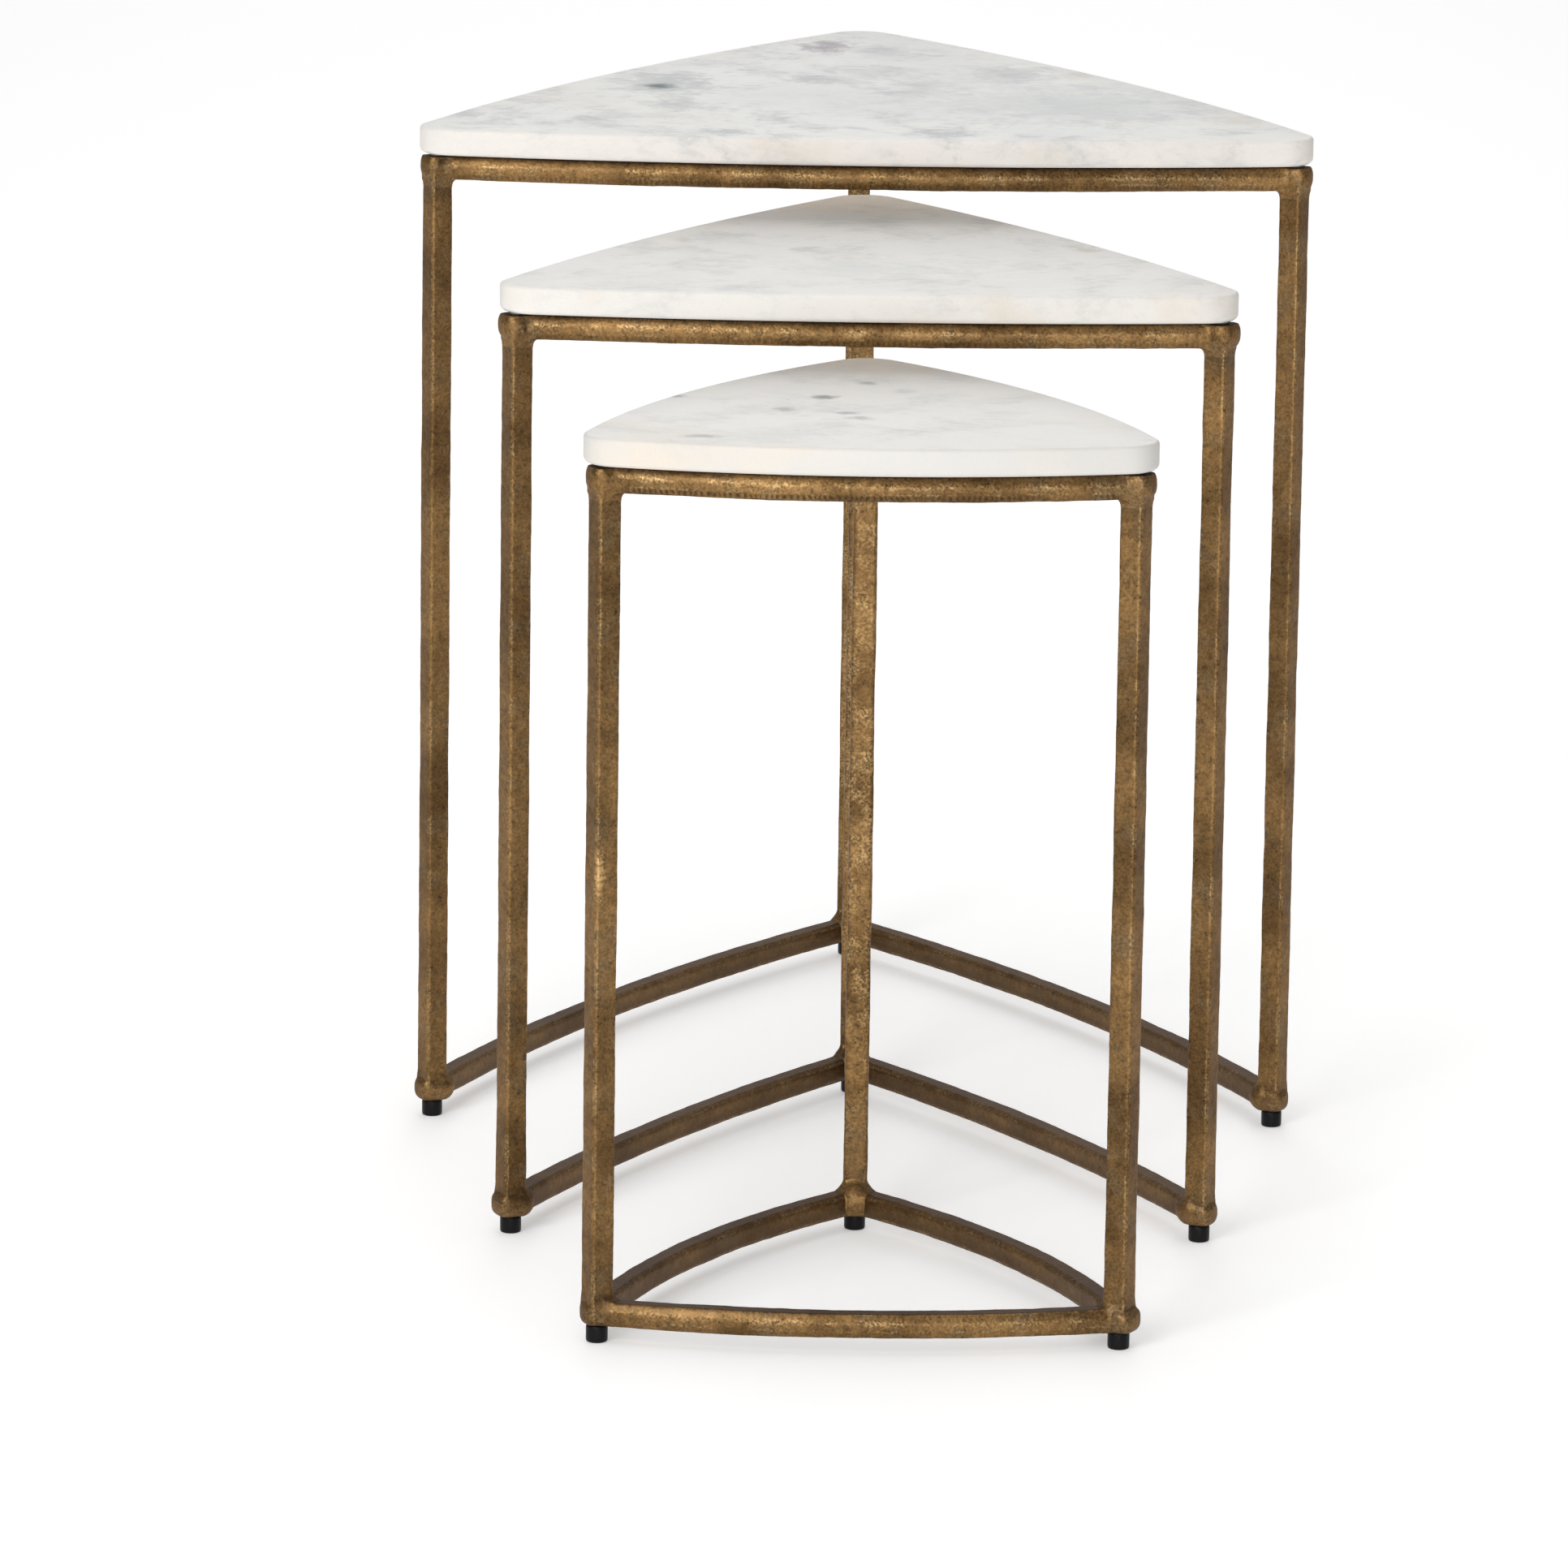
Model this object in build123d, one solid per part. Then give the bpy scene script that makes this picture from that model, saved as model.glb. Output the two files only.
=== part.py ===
from build123d import *
from math import asin, degrees, radians, sin, sqrt
import os

# Three nesting tables, millimetres, +Z up, floor at Z = 0.
# The front is towards -Y. X = 0 is the plane of symmetry of all three.

# Square bar that all frames are made of
bar_width = 14.0
bar_bevel = 2.2

# Slab of stone on each frame
slab_thickness = 16.0
slab_overhang = 14.0        # slab edge beyond the middle of the rails
slab_corner_radius = 22.0
slab_top_round = 2.5
slab_bottom_round = 1.5

# Pads that carry the slab
pad_thickness = 1.5
pad_radius = 4.5

# Knuckles, where two rails and a leg meet
knuckle_radius = 9.5
knuckle_offset = 1.2        # the swelling stands a little outside the leg's axis
knuckle_round = 3.0
knuckle_leg_reach = 8.0     # length of leg that belongs to the knuckle
knuckle_rail_reach = 15.0   # length of rail that belongs to the knuckle

# Glides and the studs that hold them
glide_radius = 6.25
glide_height = 10.0
glide_round = 0.8
stud_radius = 3.0
stud_clearance = 0.05
stud_depth_in_glide = 6.0
stud_depth_in_foot = 14.0

# Each table: overall height, half the distance between its front legs, and how far its rails bow out
tables = {
    "large": {"height": 610.0, "half_span": 257.0, "bow": 21.0},
    "medium": {"height": 560.0, "half_span": 201.0, "bow": 13.0},
    "small": {"height": 515.0, "half_span": 146.0, "bow": 20.0},
}

# How far each smaller table stands pulled out of the one behind it
medium_pull = 308.0
small_pull = 267.0

# Corners and sides, as directions from the middle of a table
corner_angles = {"left": 210.0, "right": 330.0, "back": 90.0}
side_angles = {"front": 270.0, "left": 150.0, "right": 30.0}
open_fronted = ("large", "medium")

# A cylinder that stands on its base, and one that hangs from its top
standing = (Align.CENTER, Align.CENTER, Align.MIN)
hanging = (Align.CENTER, Align.CENTER, Align.MAX)


def rail_geometry(table):
    """Radius of the bowed rail, half the angle it spans, and where its centre lies on the side's normal."""
    half_span = table["half_span"]
    bow = table["bow"]
    radius = (half_span**2 + bow**2) / (2 * bow)
    half_angle = asin(half_span / radius)
    centre = half_span / sqrt(3) + bow - radius
    return radius, half_angle, centre


def corner_distance(table):
    """From the middle of a table to the axis of a leg."""
    return 2 * table["half_span"] / sqrt(3)


def slab_corner_centre(table):
    """From the middle of a table to the centre of a slab corner, which meets both sides without a kink."""
    radius, half_angle, centre = rail_geometry(table)
    inner = radius + slab_overhang - slab_corner_radius
    return (centre + sqrt(4 * inner**2 - 3 * centre**2)) / 2


def corner_place(name, table, z):
    """Place at a leg's axis, turned so that +X points outwards."""
    return Rot(Z=corner_angles[name]) * Pos(corner_distance(table), 0, z)


def frame_top(table):
    return table["height"] - slab_thickness - pad_thickness


def make_bar_section():
    return chamfer(Rectangle(bar_width, bar_width).vertices(), bar_bevel)


def make_arc_of_bar(table, side, start, end, z):
    """Stretch of bowed bar on one side, from start to end in radians from the middle of the side."""
    radius, half_angle, centre = rail_geometry(table)
    section = Plane.XZ * Pos(radius, z) * make_bar_section()
    stretch = revolve(section, axis=Axis.Z, revolution_arc=degrees(end - start))
    return Rot(Z=side_angles[side]) * Pos(centre, 0, 0) * Rot(Z=degrees(start)) * stretch


def make_rail(table, side, z):
    radius, half_angle, centre = rail_geometry(table)
    reach = half_angle - knuckle_rail_reach / radius
    return make_arc_of_bar(table, side, -reach, reach, z)


def make_leg_bar(name, table, z_low, z_high):
    leg = extrude(make_bar_section(), z_high - z_low)
    return corner_place(name, table, z_low) * leg


def make_leg(name, table):
    z_low = glide_height + bar_width + knuckle_leg_reach
    z_high = frame_top(table) - bar_width - knuckle_leg_reach
    return make_leg_bar(name, table, z_low, z_high)


def make_knuckle(name, table, z, leg_low, leg_high, sides):
    """Swelling with the stub of a leg and the stubs of the rails that reach it, at the rails' height z."""
    radius, half_angle, centre = rail_geometry(table)
    stub = knuckle_rail_reach / radius
    swelling = Cylinder(knuckle_radius, bar_width)
    swelling = fillet(swelling.edges().filter_by(GeomType.CIRCLE), knuckle_round)
    knuckle = corner_place(name, table, z) * Pos(knuckle_offset, 0, 0) * swelling
    knuckle += make_leg_bar(name, table, leg_low, leg_high)
    for side in sides:
        turn = (side_angles[side] - corner_angles[name]) % 360
        if turn > 180:
            knuckle += make_arc_of_bar(table, side, half_angle - stub, half_angle, z)
        else:
            knuckle += make_arc_of_bar(table, side, -half_angle, stub - half_angle, z)
    return knuckle


def touches(side, corner):
    """The two sides that meet at a corner have directions 60 degrees away from it."""
    turn = abs(side_angles[side] - corner_angles[corner])
    return min(turn, 360 - turn) < 90


def make_top_knuckle(name, table):
    top = frame_top(table)
    sides = [side for side in side_angles if touches(side, name)]
    return make_knuckle(name, table, top - bar_width / 2, top - bar_width - knuckle_leg_reach, top, sides)


def make_foot_knuckle(name, table, base_sides):
    low = glide_height
    sides = [side for side in base_sides if touches(side, name)]
    foot = make_knuckle(name, table, low + bar_width / 2, low, low + bar_width + knuckle_leg_reach, sides)
    hole = Cylinder(stud_radius + stud_clearance, stud_depth_in_foot, align=standing)
    return foot - corner_place(name, table, low) * hole


def make_slab(table):
    """Slab whose outline is three bowed sides joined by round corners."""
    radius, half_angle, centre = rail_geometry(table)
    side_radius = radius + slab_overhang
    tip_centre = slab_corner_centre(table)
    inner = side_radius - slab_corner_radius
    half_side = asin(tip_centre * sin(radians(60)) / inner)
    corner_turn = 120 - 2 * degrees(half_side)
    outline = Curve()
    for angle in side_angles.values():
        arc = CenterArc((0, 0), side_radius, -degrees(half_side), 2 * degrees(half_side))
        outline += Rot(Z=angle) * Pos(centre, 0, 0) * arc
    for angle in corner_angles.values():
        arc = CenterArc((0, 0), slab_corner_radius, -corner_turn / 2, corner_turn)
        outline += Rot(Z=angle) * Pos(tip_centre, 0, 0) * arc
    slab = extrude(make_face(outline), slab_thickness)
    slab = fillet(slab.faces().sort_by(Axis.Z)[-1].edges(), slab_top_round)
    slab = fillet(slab.faces().sort_by(Axis.Z)[0].edges(), slab_bottom_round)
    return Pos(0, 0, table["height"] - slab_thickness) * slab


def make_pads(table):
    pad = Cylinder(pad_radius, pad_thickness, align=standing)
    return [corner_place(name, table, frame_top(table)) * pad for name in corner_angles]


def make_glides(table):
    glide = Cylinder(glide_radius, glide_height, align=standing)
    glide = fillet(glide.edges().filter_by(GeomType.CIRCLE).sort_by(Axis.Z)[0], glide_round)
    socket = Cylinder(stud_radius, stud_depth_in_glide, align=hanging)
    glide -= Pos(0, 0, glide_height) * socket
    return [corner_place(name, table, 0) * glide for name in corner_angles]


def make_studs(table):
    length = stud_depth_in_glide + stud_depth_in_foot
    stud = Cylinder(stud_radius, length, align=standing)
    return [corner_place(name, table, glide_height - stud_depth_in_glide) * stud for name in corner_angles]


def make_table(kind, table):
    """All pieces of one table, about its own middle, by name."""
    base_sides = [side for side in side_angles if side != "front" or kind not in open_fronted]
    top_rail_z = frame_top(table) - bar_width / 2
    base_rail_z = glide_height + bar_width / 2
    pieces = {"marble_top": make_slab(table)}
    pieces["top_pads"] = Compound(children=make_pads(table))
    for side in side_angles:
        pieces["top_rail_" + side] = make_rail(table, side, top_rail_z)
    for side in base_sides:
        pieces["base_rail_" + side] = make_rail(table, side, base_rail_z)
    for corner in corner_angles:
        pieces["leg_" + corner] = make_leg(corner, table)
        pieces["top_knuckle_" + corner] = make_top_knuckle(corner, table)
        pieces["foot_knuckle_" + corner] = make_foot_knuckle(corner, table, base_sides)
    pieces["glides"] = Compound(children=make_glides(table))
    pieces["glide_studs"] = Compound(children=make_studs(table))
    return pieces


# The set is centred on the origin, from the large table's back knuckles to the small table's front edge
back_reach = corner_distance(tables["large"]) + knuckle_offset + knuckle_radius
front_reach = tables["small"]["half_span"] / sqrt(3) + tables["small"]["bow"] + slab_overhang
large_y = (medium_pull + small_pull + front_reach - back_reach) / 2
table_y = {"large": large_y, "medium": large_y - medium_pull, "small": large_y - medium_pull - small_pull}

os.makedirs("parts", exist_ok=True)
for kind, table in tables.items():
    for piece_name, piece in make_table(kind, table).items():
        placed = Pos(0, table_y[kind], 0) * piece
        export_step(placed, "parts/" + kind + "_" + piece_name + ".step")
    print(kind, "table at Y =", round(table_y[kind], 2))
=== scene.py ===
import math

import bpy
import numpy as np
from mathutils import Matrix, Vector


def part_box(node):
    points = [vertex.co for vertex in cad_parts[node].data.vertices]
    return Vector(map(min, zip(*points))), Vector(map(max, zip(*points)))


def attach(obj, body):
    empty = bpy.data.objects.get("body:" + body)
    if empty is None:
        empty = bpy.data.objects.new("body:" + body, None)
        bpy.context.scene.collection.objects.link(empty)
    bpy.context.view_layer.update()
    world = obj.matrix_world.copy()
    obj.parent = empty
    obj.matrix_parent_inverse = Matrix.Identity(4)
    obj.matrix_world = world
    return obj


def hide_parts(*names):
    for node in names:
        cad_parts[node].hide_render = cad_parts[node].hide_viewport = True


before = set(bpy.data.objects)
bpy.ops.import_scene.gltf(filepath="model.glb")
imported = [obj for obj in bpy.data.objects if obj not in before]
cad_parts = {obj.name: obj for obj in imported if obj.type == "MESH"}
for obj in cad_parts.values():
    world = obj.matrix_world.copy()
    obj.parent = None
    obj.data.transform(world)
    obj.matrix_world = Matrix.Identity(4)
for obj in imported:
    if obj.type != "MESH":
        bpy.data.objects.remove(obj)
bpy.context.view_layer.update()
scene = bpy.context.scene
kinds = ("large", "medium", "small")
cornerAngles = {"left": 210, "right": 330, "back": 90}
sideAngles = {"front": 270, "left": 150, "right": 30}


# what each table measures, read from the frame

def readTable(kind):
    rightLow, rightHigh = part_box(kind + "_leg_right")
    railLow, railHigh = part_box(kind + "_top_rail_front")
    baseLow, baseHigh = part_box(kind + "_base_rail_left")
    slabLow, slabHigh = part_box(kind + "_marble_top")
    half = (railHigh.z - railLow.z) / 2
    span = (rightLow.x + rightHigh.x) / 2
    legY = (rightLow.y + rightHigh.y) / 2
    bow = legY - railLow.y - half
    radius = (span**2 + bow**2) / (2 * bow)
    return {
        "kind": kind,
        "middle": legY + span / math.sqrt(3),
        "span": span,
        "corner": 2 * span / math.sqrt(3),
        "half": half,
        "bow": bow,
        "radius": radius,
        "centre": span / math.sqrt(3) + bow - radius,
        "sweep": math.asin(span / radius),
        "railZ": {"top": (railLow.z + railHigh.z) / 2, "base": (baseLow.z + baseHigh.z) / 2},
        "slabLow": slabLow.z,
        "slabHigh": slabHigh.z,
        "overhang": legY - bow - slabLow.y,
        "baseSides": [s for s in sideAngles if kind + "_base_rail_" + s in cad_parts],
    }


tables = {kind: readTable(kind) for kind in kinds}


def around(degrees, radius, across=0.0):
    a = math.radians(degrees)
    x = radius * math.cos(a) - across * math.sin(a)
    y = radius * math.sin(a) + across * math.cos(a)
    return np.array([x, y])


# small helpers for meshes and node trees

def meshObject(name, points, faces, smooth=True):
    mesh = bpy.data.meshes.new(name)
    mesh.from_pydata([tuple(p) for p in points], [], [tuple(f) for f in faces])
    mesh.update()
    if smooth:
        mesh.shade_smooth()
    thing = bpy.data.objects.new(name, mesh)
    scene.collection.objects.link(thing)
    return thing


# walls between rings of points, then fans to the two middle points that follow the last ring
def ringFaces(rings, steps, base=0):
    faces = []
    pairs = [(i, (i + 1) % steps) for i in range(steps)]
    for ring in range(rings - 1):
        low = base + ring * steps
        high = low + steps
        faces += [(low + i, low + j, high + j, high + i) for i, j in pairs]
    top, middle = base + (rings - 1) * steps, base + rings * steps
    for i, j in pairs:
        faces += [(base + j, base + i, middle), (top + i, top + j, middle + 1)]
    return faces


def setPointValues(thing, name, values):
    layers = thing.data.attributes
    layer = layers[name] if name in layers else layers.new(name, "FLOAT", "POINT")
    layer.data.foreach_set("value", np.asarray(values, dtype=np.float32))


def pointValues(thing, name):
    values = np.zeros(len(thing.data.vertices), dtype=np.float32)
    thing.data.attributes[name].data.foreach_get("value", values)
    return values


def addNode(tree, kind, settings=None, **values):
    node = tree.nodes.new(kind)
    for key, value in (settings or {}).items():
        setattr(node, key, value)
    for key, value in values.items():
        socket = node.inputs[int(key[1:])] if key[0] == "_" else node.inputs[key]
        if isinstance(value, bpy.types.NodeSocket):
            tree.links.new(value, socket)
        else:
            socket.default_value = value
    return node


def math2(tree, operation, a, b=0.0, c=0.0):
    return addNode(tree, "ShaderNodeMath", {"operation": operation}, _0=a, _1=b, _2=c).outputs[0]


def times(tree, a, b):
    return math2(tree, "MULTIPLY", a, b)


def scaled(tree, value, gain, start):
    return math2(tree, "MULTIPLY_ADD", value, gain, start)


def vectorMath(tree, operation, *inputs):
    values = {f"_{number}": value for number, value in enumerate(inputs)}
    return addNode(tree, "ShaderNodeVectorMath", {"operation": operation}, **values).outputs


def newTree(name, kind, inputs, outputs):
    tree = bpy.data.node_groups.new(name, kind)
    for label, socketType, value in inputs:
        socket = tree.interface.new_socket(label, in_out="INPUT", socket_type="NodeSocket" + socketType)
        if value is not None:
            socket.default_value = value
    for label, socketType in outputs:
        tree.interface.new_socket(label, in_out="OUTPUT", socket_type="NodeSocket" + socketType)
    start = tree.nodes.new("NodeGroupInput").outputs
    end = tree.nodes.new("NodeGroupOutput").inputs
    return tree, start, end


def useGroup(tree, group, **values):
    kind = "GeometryNodeGroup" if tree.bl_idname == "GeometryNodeTree" else "ShaderNodeGroup"
    return addNode(tree, kind, {"node_tree": group}, **values).outputs


def applyTree(thing, tree, values):
    modifier = thing.modifiers.new(tree.name, "NODES")
    modifier.node_group = tree
    for item in tree.interface.items_tree:
        if item.in_out == "INPUT" and item.name in values:
            modifier[item.identifier] = values[item.name]
    bpy.context.view_layer.update()
    evaluated = thing.evaluated_get(bpy.context.evaluated_depsgraph_get())
    mesh = bpy.data.meshes.new_from_object(evaluated)
    name = thing.name
    bpy.data.objects.remove(thing)
    mesh.name = name
    made = bpy.data.objects.new(name, mesh)
    scene.collection.objects.link(made)
    return made


# materials

def noiseNode(tree, place, scale, detail=2.0, w=0.0, roughness=0.5, distortion=0.0):
    settings = {"noise_dimensions": "4D"}
    return addNode(tree, "ShaderNodeTexNoise", settings, Vector=place, Scale=scale, Detail=detail, W=w,
                   Roughness=roughness, Distortion=distortion).outputs[0]


def rampNode(tree, value, low, high):
    settings = {"interpolation_type": "SMOOTHSTEP"}
    return addNode(tree, "ShaderNodeMapRange", settings, _0=value, _1=low, _2=high).outputs[0]


def mixColour(tree, factor, a, b, blend="MIX"):
    settings = {"data_type": "RGBA", "blend_type": blend}
    return addNode(tree, "ShaderNodeMix", settings, _0=factor, _6=a, _7=b).outputs[2]


def shaderAttribute(tree, name):
    return addNode(tree, "ShaderNodeAttribute", {"attribute_name": name}).outputs["Fac"]


# aged brass: sizes in metres, a range is where a noise or an attribute starts and ends to show
patinaLook = {
    "blotchSize": 0.045, "cloudScale": 2.7, "grainSize": 0.0014, "speckScale": 0.38,
    "deep": (0.125, 0.069, 0.0245, 1), "warm": (0.270, 0.156, 0.059, 1), "blotchRange": (0.3, 0.7),
    "olive": (0.170, 0.123, 0.068, 1), "oliveRange": (0.48, 0.68), "oliveMix": 0.45,
    "toneStart": -0.53, "toneSpeck": 1.2, "toneGrain": 1.9,
    "pit": (0.04, 0.024, 0.012, 1), "pitRange": (0.24, 0.33), "pitMix": 0.7,
    "shade": (0.078, 0.049, 0.029, 1), "shadeMix": 0.7,
    # the scuff tone paints worn edges, and also the painted highlights along the rails' crest and on the back
    # legs
    "scuffGlint": (0.58, 0.37, 0.155, 1), "scuffGlintPatch": (0.40, 0.60), "scuffGlintRange": (0.42, 0.64),
    "bareRange": (0.95, 1.4), "bareMix": 0.8,
    # painted shade on upward faces, in place of their dark grazing reflection
    "upShade": (0.034, 0.024, 0.021, 1), "upShadeRange": (0.75, 0.97), "upShadeMix": 0.95, "upShadeGrain": -0.5,
    # painted shade in grooves, creases and the nick
    "groove": (0.045, 0.028, 0.013, 1), "grooveMix": 0.9,
    "rough": 0.35, "roughGrain": 0.24, "roughScuffGlint": -0.15, "roughUpShade": 0.12,
    "heightSpeck": 0.8, "heightGrain": 0.35,
}


def makePatinaGroup():
    look = patinaLook
    inputs = [("Place", "Vector", None)]
    inputs += [(label, "Float", 0.0) for label in ("Wear", "Groove", "Upward", "Shade")]
    inputs.append(("Blotch Size", "Float", look["blotchSize"]))
    inputs.append(("Grain Size", "Float", look["grainSize"]))
    inputs.append(("Seed", "Float", 0.0))
    outputs = [("Color", "Color"), ("Roughness", "Float"), ("Height", "Float")]
    tree, start, end = newTree("patina", "ShaderNodeTree", inputs, outputs)
    place, seed = start["Place"], start["Seed"]
    blotchScale = math2(tree, "DIVIDE", 1.0, start["Blotch Size"])
    grainScale = math2(tree, "DIVIDE", 1.0, start["Grain Size"])
    blotch = noiseNode(tree, place, blotchScale, 3.0, seed, 0.55)
    cloud = noiseNode(tree, place, times(tree, blotchScale, look["cloudScale"]), 3.0, seed, 0.6)
    grain = noiseNode(tree, place, grainScale, 2.0, seed, 0.6)
    speck = noiseNode(tree, place, times(tree, grainScale, look["speckScale"]), 2.0, seed, 0.6)
    # the coat: blotches, grain and pits
    colour = mixColour(tree, rampNode(tree, blotch, *look["blotchRange"]), look["deep"], look["warm"])
    olive = times(tree, rampNode(tree, cloud, *look["oliveRange"]), look["oliveMix"])
    colour = mixColour(tree, olive, colour, look["olive"])
    tone = scaled(tree, grain, look["toneGrain"], scaled(tree, speck, look["toneSpeck"], look["toneStart"]))
    toned = addNode(tree, "ShaderNodeCombineXYZ", _0=tone, _1=tone, _2=tone).outputs[0]
    colour = mixColour(tree, 1.0, colour, toned, "MULTIPLY")
    pits = math2(tree, "SUBTRACT", 1.0, rampNode(tree, speck, *look["pitRange"]))
    colour = mixColour(tree, times(tree, pits, look["pitMix"]), colour, look["pit"])
    colour = mixColour(tree, times(tree, start["Shade"], look["shadeMix"]), colour, look["shade"])
    # worn edges, partly painted highlight along the rails' crest and on the back legs, bare where the wear is
    # strongest
    patch = rampNode(tree, cloud, *look["scuffGlintPatch"])
    scuffGlint = times(tree, start["Wear"], times(tree, patch, rampNode(tree, grain, *look["scuffGlintRange"])))
    low, high = look["bareRange"]
    bare = addNode(tree, "ShaderNodeMapRange", _0=start["Wear"], _1=low, _2=high, _4=look["bareMix"])
    scuffGlint = math2(tree, "MAXIMUM", scuffGlint, bare.outputs[0])
    colour = mixColour(tree, scuffGlint, colour, look["scuffGlint"])
    # painted shade on upward faces, in place of their dark grazing reflection, and painted shade in grooves
    # and creases
    upShadeAmount = scaled(tree, grain, look["upShadeGrain"], look["upShadeMix"])
    upShade = times(tree, rampNode(tree, start["Upward"], *look["upShadeRange"]), upShadeAmount)
    colour = mixColour(tree, upShade, colour, look["upShade"])
    colour = mixColour(tree, times(tree, start["Groove"], look["grooveMix"]), colour, look["groove"])
    roughness = scaled(tree, grain, look["roughGrain"], look["rough"])
    roughness = scaled(tree, scuffGlint, look["roughScuffGlint"], roughness)
    roughness = scaled(tree, upShade, look["roughUpShade"], roughness)
    height = scaled(tree, speck, look["heightSpeck"], times(tree, grain, look["heightGrain"]))
    tree.links.new(colour, end["Color"])
    tree.links.new(roughness, end["Roughness"])
    tree.links.new(height, end["Height"])
    return tree


def startMaterial(name):
    material = bpy.data.materials.new(name)
    material.use_nodes = True
    tree = material.node_tree
    shader = tree.nodes["Principled BSDF"]
    place = tree.nodes.new("ShaderNodeTexCoord").outputs["Object"]
    return material, tree, shader, place


def finishMaterial(tree, shader, look, colour, roughness, height):
    tree.links.new(colour, shader.inputs["Base Color"])
    tree.links.new(roughness, shader.inputs["Roughness"])
    if "bump" in look:
        strength, distance = look["bump"]
        bump = addNode(tree, "ShaderNodeBump", Strength=strength, Distance=distance, Height=height)
        tree.links.new(bump.outputs[0], shader.inputs["Normal"])
    for label, value in look["sockets"].items():
        shader.inputs[label].default_value = value


# edge is a painted dark reflection: it darkens what turns away from the eye; bump is strength and distance
brassLook = {"edge": 0.55, "edgeBlend": 0.4, "edgePower": 2.0, "edgeTone": (0.030, 0.019, 0.012, 1),
             "bump": (0.75, 0.0006), "sockets": {"Metallic": 0.93, "Specular Tint": (0.83, 0.74, 0.69, 1),
                                                 "Coat Weight": 0.08, "Coat Roughness": 0.25}}


def makeBrass(name, seed, patina):
    look = brassLook
    material, tree, shader, place = startMaterial(name)
    marks = {mark.capitalize(): shaderAttribute(tree, mark) for mark in ("wear", "groove", "upward", "shade")}
    made = useGroup(tree, patina, Place=place, Seed=seed, **marks)
    # painted dark reflection at grazing angles
    facing = addNode(tree, "ShaderNodeLayerWeight", Blend=look["edgeBlend"]).outputs["Facing"]
    edge = times(tree, math2(tree, "POWER", facing, look["edgePower"]), look["edge"])
    colour = mixColour(tree, edge, made["Color"], look["edgeTone"])
    finishMaterial(tree, shader, look, colour, made["Roughness"], made["Height"])
    return material


# a mark in the stone: a soft ellipse with a torn edge, torn less for the dark tones
patchLook = {"scale": 75.0, "detail": 6.0, "roughness": 0.72, "tear": 2.4, "range": (0.15, 1.25),
             "high": 0.02, "ragged": 0.9, "raggedDark": 0.55}


def makeStonePatchGroup():
    look = patchLook
    inputs = [(label, "Vector", None) for label in ("Place", "Centre", "Size")]
    inputs += [("Ragged", "Float", look["ragged"]), ("Seed", "Float", 0.0)]
    tree, start, end = newTree("stonePatch", "ShaderNodeTree", inputs, [("Mask", "Float")])
    away = vectorMath(tree, "SUBTRACT", start["Place"], start["Centre"])[0]
    away = vectorMath(tree, "DIVIDE", away, start["Size"])[0]
    length = vectorMath(tree, "LENGTH", away)["Value"]
    torn = noiseNode(tree, start["Place"], look["scale"], look["detail"], start["Seed"], look["roughness"])
    tear = times(tree, start["Ragged"], look["tear"])
    edge = scaled(tree, scaled(tree, torn, 2.0, -1.0), tear, length)
    tree.links.new(math2(tree, "SUBTRACT", 1.0, rampNode(tree, edge, *look["range"])), end["Mask"])
    return tree


# the stone's veining from broad to fine: scale, detail, seed, roughness, distortion, range and tone
# fine layers are drawn out along the turned X and show mostly beside the streaks
stoneLayers = {
    "cloud": {"noise": (7.0, 7.0, 0, 0.66, 0.0), "range": (0.38, 0.70), "tone": "grey", "drawn": False},
    "streak": {"noise": (26.0, 6.0, 3, 0.64, 0.0), "range": (0.47, 0.68), "tone": "vein", "drawn": False},
    "wisp": {"noise": (75.0, 6.0, 7, 0.68, 0.6), "range": (0.50, 0.63), "tone": "vein", "drawn": True},
    "fine": {"noise": (230.0, 3.0, 5, 0.6, 0.0), "range": (0.48, 0.64), "tone": "vein", "drawn": True},
}
stoneLook = {"warpScale": 9.0, "warp": (0.06, 0.06, 0.06), "drawOut": (0.5, 1.0, 1.0), "calmSide": -0.5,
             "besideRange": (0.44, 0.60), "beside": 0.85, "elsewhere": 0.15, "blushRange": (0.5, 0.7),
             "grainRange": (0.35, 0.65), "grain": 0.07, "rough": 0.42, "roughGrain": 0.12,
             "bump": (0.15, 0.0002),
             "sockets": {"Subsurface Weight": 0.06, "Subsurface Radius": (0.004, 0.0038, 0.0034)}}


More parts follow.
